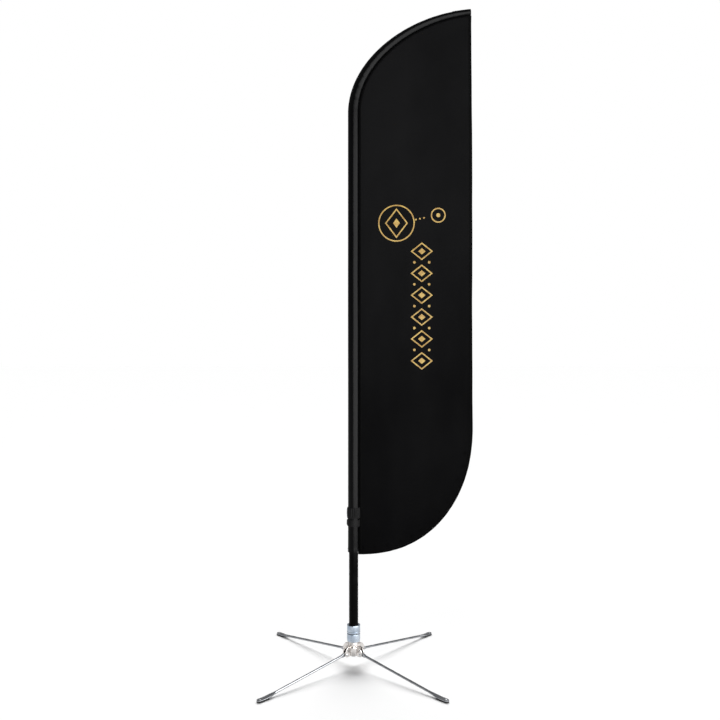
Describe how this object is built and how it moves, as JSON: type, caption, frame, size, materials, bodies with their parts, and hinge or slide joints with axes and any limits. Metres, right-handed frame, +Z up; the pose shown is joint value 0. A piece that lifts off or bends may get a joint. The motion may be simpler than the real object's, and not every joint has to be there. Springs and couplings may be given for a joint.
{
  "type": "feather flag with pole",
  "caption": "Tall feather-shaped black flag on a bent pole that turns in a socket on a low cross base with folding legs.",
  "frame": {"origin": "on the floor, under the middle of the whole object's box; the pole's axis stands at X = -0.0584 m, Y = 0", "axes": "+Z up along the pole, +X towards the flag's free edge, so that the flag lies in the XZ plane and is seen from -Y"},
  "size_m": [0.718, 0.601, 2.293],
  "materials": {
    "hub_chrome": "polished nickel-chrome plate",
    "leg_chrome": "chrome-plated round bar",
    "socket_zinc": "turned steel with bright blue-passivated zinc plate",
    "bright_steel": "bright turned steel",
    "black_rubber": "moulded matt rubber",
    "black_plastic": "moulded nylon",
    "black_tube": "black anodised drawn tube",
    "black_fibreglass": "ground and lacquered fibreglass bar",
    "flag_cloth": "knitted polyester flag cloth, dyed black, with a printed ornament",
    "sleeve_cloth": "coated polyester with a satin face",
    "elastic_webbing": "gathered elastic and woven tape"
  },
  "bodies": {
    "hub": {"hub_body": "hub_chrome", "centre_bolt": "bright_steel", "neck_collar": "hub_chrome", "bearing_housing": "socket_zinc", "lower_bearing_outer_ring": "bright_steel", "upper_bearing_outer_ring": "bright_steel", "outer_bearing_spacer": "bright_steel", "bearing_circlip": "bright_steel", "front_left_hinge_pin": "bright_steel", "front_right_hinge_pin": "bright_steel", "back_right_hinge_pin": "bright_steel", "back_left_hinge_pin": "bright_steel"},
    "rotor": {"pole_socket": "socket_zinc", "lower_bearing_inner_ring": "bright_steel", "upper_bearing_inner_ring": "bright_steel", "inner_bearing_spacer": "bright_steel", "dust_seal": "black_rubber", "shaft_washer": "bright_steel", "shaft_nut": "bright_steel"},
    "lower_cage": {"lower_ball_cage": "bright_steel"},
    "upper_cage": {"upper_ball_cage": "bright_steel"},
    "lower_pole": {"lower_pole_tube": "black_tube", "lower_spigot_bush": "black_plastic", "upper_spigot_bush": "black_plastic", "lower_pole_ferrule": "black_plastic"},
    "middle_pole": {"middle_pole_tube": "black_tube", "middle_pole_ferrule": "black_plastic"},
    "flag": {"tip_pole": "black_fibreglass", "tip_cap": "black_rubber", "flag_panel": "flag_cloth", "right_hem": "flag_cloth", "bottom_hem": "flag_cloth", "pole_sleeve": "sleeve_cloth", "tip_pocket": "sleeve_cloth", "elastic_cuff": "elastic_webbing", "cinch_strap": "elastic_webbing", "strap_tab": "elastic_webbing"},
    "front_left_leg": {"front_left_leg": "leg_chrome", "front_left_foot_pad": "black_rubber", "front_left_foot_rivet": "bright_steel"},
    "front_right_leg": {"front_right_leg": "leg_chrome", "front_right_foot_pad": "black_rubber", "front_right_foot_rivet": "bright_steel"},
    "back_right_leg": {"back_right_leg": "leg_chrome", "back_right_foot_pad": "black_rubber", "back_right_foot_rivet": "bright_steel"},
    "back_left_leg": {"back_left_leg": "leg_chrome", "back_left_foot_pad": "black_rubber", "back_left_foot_rivet": "bright_steel"}
  },
  "joints": [
    {"name": "flag_spin", "type": "hinge", "parent": "hub", "child": "rotor", "pos_m": [-0.05844, 0, 0.127], "axis": [0, 0, 1], "continuous": true},
    {"name": "lower_cage_spin", "type": "hinge", "parent": "hub", "child": "lower_cage", "pos_m": [-0.05844, 0, 0.092], "axis": [0, 0, 1], "continuous": true},
    {"name": "upper_cage_spin", "type": "hinge", "parent": "hub", "child": "upper_cage", "pos_m": [-0.05844, 0, 0.1042], "axis": [0, 0, 1], "continuous": true},
    {"name": "front_left_leg_fold", "type": "hinge", "parent": "hub", "child": "front_left_leg", "pos_m": [-0.08531, -0.02687, 0.046], "axis": [0.7071, -0.7071, 0], "range_deg": [0, 84]},
    {"name": "front_right_leg_fold", "type": "hinge", "parent": "hub", "child": "front_right_leg", "pos_m": [-0.03157, -0.02687, 0.046], "axis": [0.7071, 0.7071, 0], "range_deg": [0, 84]},
    {"name": "back_right_leg_fold", "type": "hinge", "parent": "hub", "child": "back_right_leg", "pos_m": [-0.03157, 0.02687, 0.046], "axis": [-0.7071, 0.7071, 0], "range_deg": [0, 84]},
    {"name": "back_left_leg_fold", "type": "hinge", "parent": "hub", "child": "back_left_leg", "pos_m": [-0.08531, 0.02687, 0.046], "axis": [-0.7071, -0.7071, 0], "range_deg": [0, 84]},
    {"name": "pole_lift", "type": "slide", "parent": "rotor", "child": "lower_pole", "axis": [0, 0, 1], "range_m": [0, 0.18]},
    {"name": "middle_pole_pull", "type": "slide", "parent": "lower_pole", "child": "middle_pole", "axis": [0, 0, 1], "range_m": [0, 0.105]},
    {"name": "tip_pole_pull", "type": "slide", "parent": "middle_pole", "child": "flag", "axis": [0, 0, 1], "range_m": [0, 0.105]}
  ],
  "couplings": [
    {"joint": "lower_cage_spin", "follows": "flag_spin", "ratio": 0.4153},
    {"joint": "upper_cage_spin", "follows": "flag_spin", "ratio": 0.4153}
  ]
}
